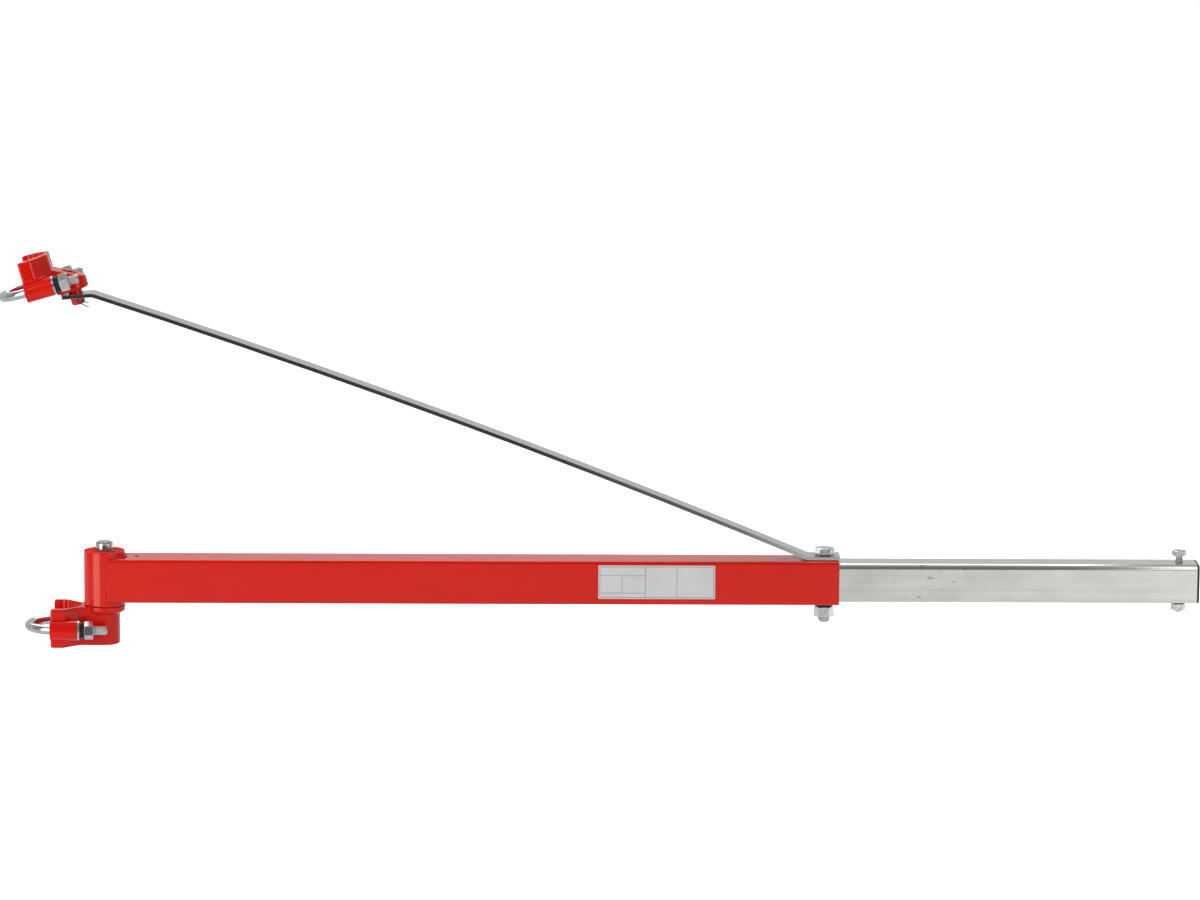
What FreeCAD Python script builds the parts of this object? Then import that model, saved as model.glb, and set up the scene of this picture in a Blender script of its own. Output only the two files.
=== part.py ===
# Swivel hoist frame: a square-tube jib that turns on two pole clamps.
# Millimetres. The origin is on the pole's axis at mid-height of the lower clamp,
# +X runs along the jib and +Z is up.
import FreeCAD, Part
import math
import os
import Sketcher
from FreeCAD import Placement, Rotation, Vector

doc = FreeCAD.newDocument("SwivelHoistFrame")
sheet = doc.addObject("Spreadsheet::Sheet", "dim")

sizes = {
    # the pole that both clamps grip
    "pole_diameter": 48.3,
    "pole_clearance": 0.1,
    # clamp jaws, shared by both castings
    "jaw_height": 40,
    "lower_tip_reach": 5.6,
    "upper_tip_reach": 2.6,
    "lower_jaw_crease": 8,
    "upper_jaw_crease": 11,
    "lower_jaw_half_width": 31,
    "upper_jaw_half_width": 33,
    "jaw_back_x": 27.3,
    "jaw_back_y": 14.5,
    "tooth_pitch": 10.5,
    "tooth_grooves": 17,
    "tooth_depth": 1.2,
    "tooth_width": 2,
    "lug_radius": 10.2,
    "lug_drop": 1.2,
    "lower_lug_face": 22.5,
    "upper_lug_face": 26.3,
    "lower_lug_fillet": 2,
    "upper_lug_fillet": 3,
    "edge_round": 2,
    "crease_round": 8,
    "tip_round": 2.5,
    # lower casting round the pivot pin
    "lower_pin_offset": 48,
    "housing_radius": 15.5,
    "rim_radius": 21,
    "rim_height": 5,
    "rim_cone": 5,
    # upper casting round its own pin
    "upper_pin_offset": 42.5,
    "horn_start": 26,
    "horn_half_width": 15,
    "horn_bottom": 14.7,
    "horn_root_top": 13.3,
    "horn_end_drop": 16.3,
    "horn_round": 2.5,
    # clamp bolts
    "leg_spacing": 62,
    "rod_diameter": 9.5,
    "rod_clearance": 1.2,
    "bend_centre": 1.8,
    "leg_length": 51,
    "leg_plain": 26,
    "leg_chamfer": 1.2,
    "washer_diameter": 20,
    "washer_thickness": 2,
    "washer_room": 0.6,
    "spring_diameter": 17,
    "spring_thickness": 4.2,
    "spring_height": 4.8,
    "spring_turn": 0.95,
    "nut_flats": 16,
    "nut_thickness": 9.4,
    "lower_nut_turn": 53,
    "upper_nut_turn": 7,
    "hexagon_face": 0.95,
    "hexagon_bevel": 0.045,
    # pivot pin and boss
    "pin_diameter": 18,
    "pin_press": 0.02,
    "swivel_clearance": 0.1,
    "pin_stand": 9.2,
    "pin_chamfer": 2,
    "boss_gap": 0.4,
    "boss_diameter": 42,
    "boss_above": 6.6,
    "boss_below": 5,
    "boss_round": 1,
    "cotter_diameter": 3,
    "cotter_height": 3.7,
    "cotter_legs": 13.5,
    "cotter_eye": 3.2,
    "cotter_part": 0.28,
    "cotter_bend": 60,
    "cotter_droop": 8,
    # jib tubes
    "tube_side": 45,
    "tube_wall": 2,
    "tube_corner": 2.8,
    "tube_start": 4.4,
    "tube_reach": 751,
    "weld_gap": 0.1,
    "vent_reach": 33,
    "vent_diameter": 5,
    "telescope_gap": 0.5,
    "extension_wall": 2.5,
    "extension_corner": 5,
    "extension_out": 366,
    "extension_length": 700,
    "cap_flange": 2.5,
    "cap_plug": 11,
    "cap_clearance": 0.2,
    # stay bar
    "stay_width": 30,
    "stay_thickness": 4,
    "stay_foot": 30.5,
    "stay_overhang": 1,
    "stay_upper_bend": 9.5,
    "stay_rise": 268.6,
    "stay_bow": 8,
    "stay_tilt": 5.2,
    "stay_flat": 32,
    "stay_hole_margin": 15,
    "stay_hole": 16.5,
    "stay_bend_radius": 8,
    "stay_corner": 1.5,
    # stay bolt and stop bolt
    "stay_bolt_inset": 14.5,
    "stay_bolt_diameter": 12,
    "stay_bolt_flats": 18,
    "stay_bolt_head": 7.5,
    "stay_nut_thickness": 10.8,
    "stay_spring_diameter": 18,
    "stay_spring_thickness": 3.7,
    "stay_spring_height": 4.2,
    "stay_bolt_tail": 5.6,
    "stay_bolt_plain": 40,
    "stop_bolt_inset": 17,
    "stop_bolt_diameter": 8,
    "stop_bolt_flats": 13,
    "stop_bolt_head": 5.3,
    "stop_bolt_stand": 7,
    "stop_nut_thickness": 6.8,
    "stop_spring_diameter": 13.5,
    "stop_spring_thickness": 2.3,
    "stop_spring_height": 2.7,
    "stop_bolt_tail": 2,
    "stop_bolt_plain": 2,
    "bolt_clearance": 0.5,
    "bolt_chamfer": 0.12,
    "thread_depth": 0.5,
    "thread_clearance": 0.1,
    # upper clamp, hanging slack on the stay
    "upper_tilt": 16.5,
    "upper_gap": 3.7,
    "upper_pin_diameter": 14,
    "upper_pin_tail": 9.6,
    "upper_pin_chamfer": 1.5,
    "upper_cotter_diameter": 2.4,
    "upper_cotter_drop": 6.2,
    "upper_cotter_droop": 32,
}
for row, (alias, value) in enumerate(sizes.items(), start=1):
    sheet.set(f"A{row}", alias)
    sheet.set(f"B{row}", str(value))
    sheet.setAlias(f"B{row}", alias)
doc.recompute()

# heights and places that several pieces share
jaw_radius = "(dim.pole_diameter / 2 + dim.pole_clearance)"
clamp_top = "(dim.jaw_height / 2)"
boss_bottom = f"({clamp_top} + dim.boss_gap)"
tube_bottom = f"({boss_bottom} + dim.boss_below)"
tube_middle = f"({tube_bottom} + dim.tube_side / 2)"
tube_top = f"({tube_bottom} + dim.tube_side)"
boss_top = f"({tube_top} + dim.boss_above)"
extension_side = "(dim.tube_side - 2 * (dim.tube_wall + dim.telescope_gap))"
extension_top = f"({tube_middle} + {extension_side} / 2)"
extension_bottom = f"({tube_middle} - {extension_side} / 2)"
pin_x = "dim.lower_pin_offset"
tube_end = f"({pin_x} + dim.tube_reach)"
extension_end = f"({tube_end} + dim.extension_out)"
stay_bolt_x = f"({tube_end} - dim.stay_bolt_inset)"
stop_bolt_x = f"({extension_end} - dim.stop_bolt_inset)"
half_spacing = "(dim.leg_spacing / 2)"
leg_height = "(-dim.lug_drop)"

# top surface of the stay bar at its two bends, and the middle of its upper hole
upper_bend_x = f"({pin_x} - dim.stay_upper_bend)"
lower_bend_x = f"({tube_end} - dim.stay_foot)"
stay_slope = f"atan2(dim.stay_rise; {lower_bend_x} - {upper_bend_x})"
lower_bend_z = f"({tube_top} + dim.stay_thickness)"
upper_bend_z = f"({lower_bend_z} + dim.stay_rise)"
hole_run = "(dim.stay_flat - dim.stay_hole_margin)"
half_stay = "(dim.stay_thickness / 2)"
hole_x = f"({upper_bend_x} - {hole_run} * cos(dim.stay_tilt) + {half_stay} * sin(dim.stay_tilt))"
hole_z = f"({upper_bend_z} - {hole_run} * sin(dim.stay_tilt) - {half_stay} * cos(dim.stay_tilt))"

# height of that hole in the upper clamp's own frame, and where the frame then lies
hole_drop = f"(dim.horn_bottom + dim.upper_gap + {half_stay})"
upper_x = (
    f"{hole_x} - dim.upper_pin_offset * cos(dim.upper_tilt)"
    f" - {hole_drop} * sin(dim.upper_tilt)"
)
upper_z = (
    f"{hole_z} - dim.upper_pin_offset * sin(dim.upper_tilt)"
    f" + {hole_drop} * cos(dim.upper_tilt)"
)

nodes = []


def size(expression):
    return float(sheet.evalExpression(expression))


def keep(item, label):
    item.Label = label
    nodes.append(item)
    return item


def bind(item, **expressions):
    for name, expression in expressions.items():
        item.setExpression(name, expression)
    return item


def move(item, x="0", y="0", z="0", axis=None, angle="0"):
    if axis is not None:
        item.Placement = Placement(Vector(), Rotation(axis, size(angle)))
        item.setExpression("Placement.Rotation.Angle", angle)
    for name, expression in (("x", x), ("y", y), ("z", z)):
        item.setExpression(f"Placement.Base.{name}", expression)
    return item


def seat(clamp, item, x="0", y="0", z="0", laid=False):
    # x, y, z are in the clamp's own frame, and a laid piece points along its X
    if clamp == "lower":
        return move(item, x, y, z, Vector(0, 1, 0), "90" if laid else "0")
    tilt = "dim.upper_tilt"
    world_x = f"{upper_x} + ({x}) * cos({tilt}) - ({z}) * sin({tilt})"
    world_z = f"{upper_z} + ({x}) * sin({tilt}) + ({z}) * cos({tilt})"
    if laid:
        return move(item, world_x, y, world_z, Vector(0, 1, 0), f"90 - {tilt}")
    return move(item, world_x, y, world_z, Vector(0, -1, 0), tilt)


# Sketch helpers: every point and radius is a constraint bound to the sheet

def new_body(name):
    return doc.addObject("PartDesign::Body", name)


def new_sketch(body, role, offset="0"):
    sketch = body.newObject("Sketcher::SketchObject", "sketch")
    plane = next(item for item in body.Origin.OriginFeatures if item.Role == role)
    sketch.AttachmentSupport = [(plane, "")]
    sketch.MapMode = "FlatFace"
    sketch.setExpression("AttachmentOffset.Base.z", offset)
    return sketch


def pin_point(sketch, geometry, position, x, y):
    for kind, expression in (("DistanceX", x), ("DistanceY", y)):
        rule = Sketcher.Constraint(kind, -1, 1, geometry, position, size(expression))
        index = sketch.addConstraint(rule)
        sketch.setExpression(f"Constraints[{index}]", expression)


def bowed_side(here, there, radius, left):
    chord = there - here
    rise = radius - math.sqrt(radius**2 - (chord.Length / 2) ** 2)
    across = Vector(-chord.y, chord.x, 0).normalize()
    middle = (here + there) * 0.5 + across * (rise if left else -rise)
    return Part.Arc(here, middle, there)


def add_polygon(sketch, points, bows=None):
    # a side named in bows is an arc with that radius, and bulges to the left or the right
    corners = [Vector(size(x), size(y), 0) for x, y in points]
    count = len(points)
    sides = []
    for i, here in enumerate(corners):
        there = corners[(i + 1) % count]
        side = Part.LineSegment(here, there)
        if bows and i in bows:
            radius, left = bows[i]
            side = bowed_side(here, there, size(radius), left)
        index = sketch.addGeometry(side)
        from_here = [sketch.getPoint(index, end).distanceToPoint(here) for end in (1, 2)]
        sides.append((index, 1, 2) if from_here[0] < from_here[1] else (index, 2, 1))
    for i, (index, start, end) in enumerate(sides):
        after, after_start, after_end = sides[(i + 1) % count]
        sketch.addConstraint(Sketcher.Constraint("Coincident", index, end, after, after_start))
    for (index, start, end), (x, y) in zip(sides, points):
        pin_point(sketch, index, start, x, y)
    for i, (radius, left) in (bows or {}).items():
        bind_radius(sketch, sides[i][0], radius)


def bind_radius(sketch, geometry, radius):
    rule = sketch.addConstraint(Sketcher.Constraint("Radius", geometry, size(radius)))
    sketch.setExpression(f"Constraints[{rule}]", radius)


def add_circle(sketch, x, y, radius):
    centre = Vector(size(x), size(y), 0)
    circle = Part.Circle(centre, Vector(0, 0, 1), size(radius))
    index = sketch.addGeometry(circle)
    pin_point(sketch, index, 3, x, y)
    bind_radius(sketch, index, radius)


def polygon(body, role, points, offset="0", bows=None):
    sketch = new_sketch(body, role, offset)
    add_polygon(sketch, points, bows)
    return sketch


def circles(body, role, rings, offset="0"):
    sketch = new_sketch(body, role, offset)
    for x, y, radius in rings:
        add_circle(sketch, x, y, radius)
    return sketch


def rectangle(body, role, low, high, offset="0"):
    corners = [(low[0], low[1]), (high[0], low[1]), (high[0], high[1]), (low[0], high[1])]
    return polygon(body, role, corners, offset)


# Feature helpers

def pad(body, sketch, length, both_ways=False):
    feature = body.newObject("PartDesign::Pad", "pad")
    feature.Profile = sketch
    feature.SideType = "Symmetric" if both_ways else "One side"
    feature.setExpression("Length", length)
    doc.recompute()
    return feature


def cut_through(body, sketch, both_ways=True, upward=False):
    feature = body.newObject("PartDesign::Pocket", "pocket")
    feature.Profile = sketch
    feature.Type = "ThroughAll"
    feature.SideType = "Symmetric" if both_ways else "One side"
    feature.Reversed = upward
    doc.recompute()
    return feature


def turn(body, sketch):
    feature = body.newObject("PartDesign::Revolution", "turned")
    feature.Profile = sketch
    feature.ReferenceAxis = (sketch, ["V_Axis"])
    feature.Angle = 360
    doc.recompute()
    return feature


def round_edges(body, wanted, radius):
    base = body.Tip
    names = [
        f"Edge{i}" for i, edge in enumerate(base.Shape.Edges, start=1) if wanted(edge)
    ]
    feature = body.newObject("PartDesign::Fillet", "rounded")
    feature.Base = (base, names)
    feature.setExpression("Radius", radius)
    doc.recompute()
    return feature


def runs_along(edge, axis):
    if not isinstance(edge.Curve, Part.Line):
        return False
    return abs(edge.Curve.Direction.dot(axis)) > 0.999


def lies_at(edge, height):
    return abs(edge.BoundBox.ZMin - height) < 0.01 and abs(edge.BoundBox.ZMax - height) < 0.01


def stands_at(edge, x, y):
    if not runs_along(edge, Vector(0, 0, 1)):
        return False
    place = edge.BoundBox.Center
    return abs(place.x - size(x)) < 0.01 and abs(abs(place.y) - size(y)) < 0.01


def round_corners(body, corners):
    # each corner of the plan is named by its place and by how far it is rounded
    for x, y, radius in corners:
        round_edges(body, lambda edge: stands_at(edge, x, y), radius)


def ring(label, outer, inner, height):
    tube = bind(doc.addObject("Part::Cylinder", label + "_outer"), Radius=outer, Height=height)
    hole = bind(doc.addObject("Part::Cylinder", label + "_hole"), Radius=inner, Height=height)
    washer = doc.addObject("Part::Cut", label)
    washer.Base = tube
    washer.Tool = hole
    return washer


def spring_ring(label, outer, inner, thickness, height):
    # one open turn of flat wire, drawn at its free height
    body = new_body(label)
    sketch = rectangle(body, "XZ_Plane", (inner, "0"), (outer, thickness))
    coil = body.newObject("PartDesign::AdditiveHelix", "coil")
    coil.Profile = sketch
    coil.ReferenceAxis = (sketch, ["V_Axis"])
    coil.Mode = "pitch-height-angle"
    rise = f"({height} - {thickness})"
    bind(coil, Pitch=f"{rise} / dim.spring_turn", Height=rise)
    doc.recompute()
    return body


def hexagon(label, flats, height, turned="0"):
    prism = doc.addObject("Part::Prism", label + "_prism")
    prism.Polygon = 6
    bind(prism, Circumradius=f"{flats} / sqrt(3)", Height=height)
    move(prism, axis=Vector(0, 0, 1), angle=turned)
    body = new_body(label + "_turned")
    corner = f"{flats} / sqrt(3)"
    bevel = f"{flats} * dim.hexagon_bevel"
    face = f"{flats} / 2 * dim.hexagon_face"
    sketch = polygon(body, "XZ_Plane", [
        ("0", "0"),
        (face, "0"),
        (corner, bevel),
        (corner, f"{height} - {bevel}"),
        (face, height),
        ("0", height),
    ])
    turn(body, sketch)
    shape = doc.addObject("Part::Common", label + "_hexagon")
    shape.Base = prism
    shape.Tool = body
    return shape


def nut(label, flats, height, bore, turned="0"):
    blank = hexagon(label, flats, height, turned)
    hole = bind(doc.addObject("Part::Cylinder", label + "_bore"), Radius=bore, Height=height)
    result = doc.addObject("Part::Cut", label)
    result.Base = blank
    result.Tool = hole
    return result


# Clamp castings

def pole_seat(body):
    sketch = circles(body, "XY_Plane", [("0", "0", jaw_radius)])
    cut_through(body, sketch)
    mouth = rectangle(
        body,
        "XY_Plane",
        (f"-{jaw_radius}", f"-{jaw_radius}"),
        ("0", jaw_radius),
    )
    cut_through(body, mouth)
    first_angle = "(-dim.tooth_pitch * (dim.tooth_grooves - 1) / 2 * 1 deg)"
    tip = f"({jaw_radius} + dim.tooth_depth)"
    root = f"({jaw_radius} - dim.tooth_depth)"
    flank = f"atan2(dim.tooth_width; {root})"
    groove = polygon(body, "XY_Plane", [
        (f"{root} * cos({first_angle} - {flank})", f"{root} * sin({first_angle} - {flank})"),
        (f"{tip} * cos({first_angle})", f"{tip} * sin({first_angle})"),
        (f"{root} * cos({first_angle} + {flank})", f"{root} * sin({first_angle} + {flank})"),
    ])
    first_groove = cut_through(body, groove)
    teeth = body.newObject("PartDesign::PolarPattern", "teeth")
    teeth.Originals = [first_groove]
    axis = next(item for item in body.Origin.OriginFeatures if item.Role == "Z_Axis")
    teeth.Axis = (axis, [""])
    bind(teeth, Angle="dim.tooth_pitch * (dim.tooth_grooves - 1)", Occurrences="dim.tooth_grooves")
    body.Tip = teeth
    doc.recompute()


def lugs(body, tip_reach, face, fillet):
    rings = [(f"{side} * {half_spacing}", leg_height, "dim.lug_radius") for side in (-1, 1)]
    sketch = circles(body, "YZ_Plane", rings, f"-{tip_reach}")
    pad(body, sketch, f"{face} + {tip_reach}")
    round_edges(body, lambda edge: lies_on_lug(body, edge), fillet)


def lies_on_lug(body, edge):
    # a line where the side of a round lug meets the wall of its jaw
    if edge.BoundBox.XLength < 0.01:
        return False
    if len(body.Tip.Shape.ancestorsOfType(edge, Part.Face)) < 2:
        return False
    for point in edge.discretize(5):
        across = abs(point.y) - size(half_spacing)
        along = point.z - size(leg_height)
        if abs((across**2 + along**2) ** 0.5 - size("dim.lug_radius")) > 0.01:
            return False
    return True


def leg_holes(body, face):
    # holes for the rod's legs, and the spot faces that their washers lie on
    radius = "dim.rod_diameter / 2 + dim.rod_clearance"
    rings = [(f"{side} * {half_spacing}", leg_height, radius) for side in (-1, 1)]
    cut_through(body, circles(body, "YZ_Plane", rings))
    radius = "dim.washer_diameter / 2 + dim.washer_room"
    rings = [(f"{side} * {half_spacing}", leg_height, radius) for side in (-1, 1)]
    faces = circles(body, "YZ_Plane", rings, face)
    cut_through(body, faces, both_ways=False, upward=True)


def lower_casting():
    body = new_body("LowerClampCasting")
    reach = "-dim.lower_tip_reach"
    wide = "dim.lower_jaw_half_width"
    narrow = "dim.housing_radius"
    crease = "dim.lower_jaw_crease"
    waist = f"{crease} + {wide} - {narrow}"
    plan = polygon(body, "XY_Plane", [
        (reach, f"-{wide}"),
        (crease, f"-{wide}"),
        (waist, f"-{narrow}"),
        (pin_x, f"-{narrow}"),
        (pin_x, narrow),
        (waist, narrow),
        (crease, wide),
        (reach, wide),
    ])
    pad(body, plan, "dim.jaw_height", both_ways=True)
    round_corners(body, [
        (reach, wide, "dim.tip_round"),
        (crease, wide, "dim.crease_round"),
        (waist, narrow, "dim.crease_round"),
    ])
    end = circles(body, "XY_Plane", [(pin_x, "0", narrow)])
    pad(body, end, "dim.jaw_height", both_ways=True)
    top = size(clamp_top)
    round_edges(body, lambda edge: lies_at(edge, top) or lies_at(edge, -top), "dim.edge_round")
    lugs(body, "dim.lower_tip_reach", "dim.lower_lug_face", "dim.lower_lug_fillet")
    pole_seat(body)
    rim = new_sketch(body, "XZ_Plane")
    ledge = f"{clamp_top} - dim.rim_height"
    foot = f"{clamp_top} - dim.rim_height - dim.rim_cone"
    add_polygon(rim, [
        (pin_x, foot),
        (f"{pin_x} + {narrow} - dim.edge_round", foot),
        (f"{pin_x} + dim.rim_radius", ledge),
        (f"{pin_x} + dim.rim_radius", clamp_top),
        (pin_x, clamp_top),
    ])
    feature = body.newObject("PartDesign::Revolution", "rim")
    feature.Profile = rim
    feature.ReferenceAxis = (rim, ["Edge5"])
    feature.Angle = 360
    doc.recompute()
    shelf = size(ledge)
    edge_x = size(f"{pin_x} + dim.rim_radius")
    round_edges(body, lambda edge: lies_at(edge, shelf) and edge.BoundBox.XMax > edge_x - 0.01,
                "dim.edge_round")
    leg_holes(body, "dim.lower_lug_face")
    bore = circles(body, "XY_Plane", [(pin_x, "0", "dim.pin_diameter / 2 + dim.pin_press")])
    cut_through(body, bore)
    return keep(body, "lower_clamp_casting")


def clamp_horn():
    # sloping arm with a round end, which holds the upper pin
    body = new_body("ClampHorn")
    height = "dim.horn_bottom + dim.horn_root_top"
    half = "dim.horn_half_width"
    far = "dim.upper_pin_offset"
    foot = "-dim.horn_bottom"
    root = rectangle(body, "XY_Plane", ("dim.horn_start", f"-{half}"), (far, half), foot)
    pad(body, root, height)
    end = circles(body, "XY_Plane", [(far, "0", half)], foot)
    pad(body, end, height)
    slope_end = f"{far} + {half}"
    slope = polygon(body, "XZ_Plane", [
        ("dim.horn_start", "dim.horn_root_top"),
        (slope_end, "dim.horn_root_top - dim.horn_end_drop"),
        (slope_end, "dim.horn_root_top"),
    ])
    cut_through(body, slope)
    start = size("dim.horn_start")
    upright = Vector(0, 0, 1)
    round_edges(body, lambda edge: edge.BoundBox.XMax > start + 0.01
                and not runs_along(edge, upright), "dim.horn_round")
    return body


def upper_casting():
    body = new_body("UpperClampCasting")
    reach = "-dim.upper_tip_reach"
    wide = "dim.upper_jaw_half_width"
    half = [
        (reach, wide),
        ("dim.upper_jaw_crease", wide),
        ("dim.jaw_back_x", "dim.jaw_back_y"),
    ]
    other_half = [(x, f"-{y}") for x, y in reversed(half)]
    plan = polygon(body, "XY_Plane", half + other_half, "-dim.lug_radius")
    pad(body, plan, "dim.jaw_height")
    rounds = ["dim.tip_round", "dim.crease_round", "dim.crease_round"]
    round_corners(body, [(x, y, radius) for (x, y), radius in zip(half, rounds)])
    low = size("-dim.lug_radius")
    high = size("dim.jaw_height - dim.lug_radius")
    round_edges(body, lambda edge: lies_at(edge, low) or lies_at(edge, high), "dim.edge_round")
    lugs(body, "dim.upper_tip_reach", "dim.upper_lug_face", "dim.upper_lug_fillet")
    joined = body.newObject("PartDesign::Boolean", "joined")
    joined.addObjects([clamp_horn()])
    doc.recompute()
    pole_seat(body)
    leg_holes(body, "dim.upper_lug_face")
    radius = "dim.upper_pin_diameter / 2 + dim.pin_press"
    cut_through(body, circles(body, "XY_Plane", [("dim.upper_pin_offset", "0", radius)]))
    return seat("upper", keep(body, "upper_clamp_casting"))


# Clamp bolts with their washers and nuts

def stem_outline(body, radius, start, end, plain, chamfer):
    # half outline of a round stem: past its plain length it is cut down to the thread's root
    outward = size(end) > size(start)
    back = f"{end} - {chamfer}" if outward else f"{end} + {chamfer}"
    thread_start = f"{start} + {plain}" if outward else f"{start} - {plain}"
    root = f"({radius} - dim.thread_depth)"
    return polygon(body, "XZ_Plane", [
        ("0", start),
        (radius, start),
        (radius, thread_start),
        (root, thread_start),
        (root, back),
        (f"{root} - {chamfer}", end),
        ("0", end),
    ])


def u_bolt(label):
    bend = doc.addObject("Part::Torus", label + "_bend")
    bind(bend, Radius1=half_spacing, Radius2="dim.rod_diameter / 2")
    bend.Angle3 = 180
    move(bend, "dim.bend_centre", axis=Vector(0, 0, 1), angle="90")
    pieces = [bend]
    for side in (-1, 1):
        leg = new_body(label + "_leg")
        sketch = stem_outline(
            leg, "dim.rod_diameter / 2", "0", "dim.leg_length", "dim.leg_plain", "dim.leg_chamfer"
        )
        turn(leg, sketch)
        move(leg, "dim.bend_centre", f"{side} * {half_spacing}", axis=Vector(0, 1, 0), angle="90")
        pieces.append(leg)
    rod = doc.addObject("Part::MultiFuse", label)
    rod.Shapes = pieces
    return keep(rod, label)


def clamp_bolts(clamp):
    seat(clamp, u_bolt(clamp + "_u_bolt"), z=leg_height)
    hole = "dim.rod_diameter / 2 + dim.thread_clearance"
    for side, word in ((-1, "front"), (1, "rear")):
        y = f"{side} * {half_spacing}"
        x = f"dim.{clamp}_lug_face"
        label = f"{clamp}_{word}_washer"
        washer = ring(label, "dim.washer_diameter / 2", hole, "dim.washer_thickness")
        seat(clamp, keep(washer, label), x, y, leg_height, laid=True)
        x = f"{x} + dim.washer_thickness"
        label = f"{clamp}_{word}_spring_washer"
        washer = spring_ring(
            label, "dim.spring_diameter / 2", hole, "dim.spring_thickness", "dim.spring_height"
        )
        seat(clamp, keep(washer, label), x, y, leg_height, laid=True)
        x = f"{x} + dim.spring_height"
        label = f"{clamp}_{word}_nut"
        fastener = nut(label, "dim.nut_flats", "dim.nut_thickness", hole, f"dim.{clamp}_nut_turn")
        seat(clamp, keep(fastener, label), x, y, leg_height, laid=True)


# Pivot pins and the split pins that hold them

def pivot_pin(label, radius, low, high, chamfer, cross_height, cross_radius):
    # round pin on Z, drilled across along Y for its split pin
    body = new_body(label + "_blank")
    sketch = polygon(body, "XZ_Plane", [
        ("0", low),
        (f"{radius} - {chamfer}", low),
        (radius, f"{low} + {chamfer}"),
        (radius, f"{high} - {chamfer}"),
        (f"{radius} - {chamfer}", high),
        ("0", high),
    ])
    turn(body, sketch)
    drill = doc.addObject("Part::Cylinder", label + "_drill")
    bind(drill, Radius=cross_radius, Height=f"4 * {radius}")
    move(drill, "0", f"2 * {radius}", cross_height, Vector(1, 0, 0), "90")
    result = doc.addObject("Part::Cut", label + "_drilled")
    result.Base = body
    result.Tool = drill
    return keep(result, label)


def split_pin(label, diameter, pin_radius, droop):
    # shank through the pin along Y, eye behind it, two legs bent aside in front of it
    front = f"({pin_radius} + {diameter} / 2)"
    shank = doc.addObject("Part::Cylinder", label + "_shank")
    bind(shank, Radius=f"{diameter} / 2", Height=f"2 * {front}")
    move(shank, "0", front, "0", Vector(1, 0, 0), "90")
    eye = doc.addObject("Part::Torus", label + "_eye")
    bind(eye, Radius1="dim.cotter_eye", Radius2=f"{diameter} / 4")
    move(eye, "0", f"{front} + dim.cotter_eye")
    pieces = [shank, eye]
    bend = math.radians(size("dim.cotter_bend"))
    lean = Vector(math.cos(bend), math.sin(bend), 0)
    for half, fall in ((1, f"{droop} / 2"), (-1, droop)):
        leg = doc.addObject("Part::Cylinder", label + "_leg")
        bind(leg, Radius=f"{diameter} / 4", Height="dim.cotter_legs")
        move(leg, "0", f"-{pin_radius}", f"{half} * {diameter} * dim.cotter_part", lean, f"90 + {fall}")
        pieces.append(leg)
    wire = doc.addObject("Part::MultiFuse", label)
    wire.Shapes = pieces
    wire.Refine = False
    return keep(wire, label)


def lower_pivot():
    radius = "dim.pin_diameter / 2"
    high = f"{boss_top} + dim.pin_stand"
    cross = f"{boss_top} + dim.cotter_height"
    cross_radius = "dim.cotter_diameter / 2 + dim.thread_clearance"
    pin = pivot_pin(
        "pivot_pin", radius, f"-{clamp_top}", high, "dim.pin_chamfer", cross, cross_radius
    )
    move(pin, pin_x)
    wire = split_pin("pivot_split_pin", "dim.cotter_diameter", radius, "dim.cotter_droop")
    move(wire, pin_x, "0", cross)


def upper_pivot():
    radius = "dim.upper_pin_diameter / 2"
    low = f"-{hole_drop} - dim.upper_pin_tail"
    high = "dim.horn_root_top - dim.horn_end_drop"
    cross = f"-{hole_drop} - dim.upper_cotter_drop"
    cross_radius = "dim.upper_cotter_diameter / 2 + dim.thread_clearance"
    pin = pivot_pin(
        "upper_pivot_pin", radius, low, high, "dim.upper_pin_chamfer", cross, cross_radius
    )
    seat("upper", pin, "dim.upper_pin_offset")
    wire = split_pin("upper_split_pin", "dim.upper_cotter_diameter", radius, "dim.upper_cotter_droop")
    seat("upper", wire, "dim.upper_pin_offset", "0", cross)


# Jib: boss, square tubes and end cap

def swivel_boss():
    body = new_body("SwivelBoss")
    inner = "dim.pin_diameter / 2 + dim.swivel_clearance"
    outer = "dim.boss_diameter / 2"
    sketch = rectangle(body, "XZ_Plane", (inner, boss_bottom), (outer, boss_top))
    turn(body, sketch)
    radius = size(outer)
    round_edges(body, lambda edge: edge.BoundBox.XMax > radius - 0.01
                and edge.BoundBox.ZLength < 0.01, "dim.boss_round")
    move(body, pin_x)
    return keep(body, "swivel_boss")


def square_tube(body, side, wall, corner, start, length):
    half = f"({side} / 2)"
    outside = rectangle(
        body, "YZ_Plane", (f"-{half}", f"{tube_middle} - {half}"), (half, f"{tube_middle} + {half}"),
        start,
    )
    pad(body, outside, length)
    along = Vector(1, 0, 0)
    round_edges(body, lambda edge: runs_along(edge, along), corner)
    bore = f"({side} / 2 - {wall})"
    inside = rectangle(
        body, "YZ_Plane", (f"-{bore}", f"{tube_middle} - {bore}"), (bore, f"{tube_middle} + {bore}")
    )
    cut_through(body, inside)
    limit = size(bore) + 0.01
    middle = size(tube_middle)
    round_edges(body, lambda edge: runs_along(edge, along)
                and abs(edge.BoundBox.YMax) < limit
                and abs(edge.BoundBox.ZMax - middle) < limit, f"{corner} - {wall}")


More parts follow.
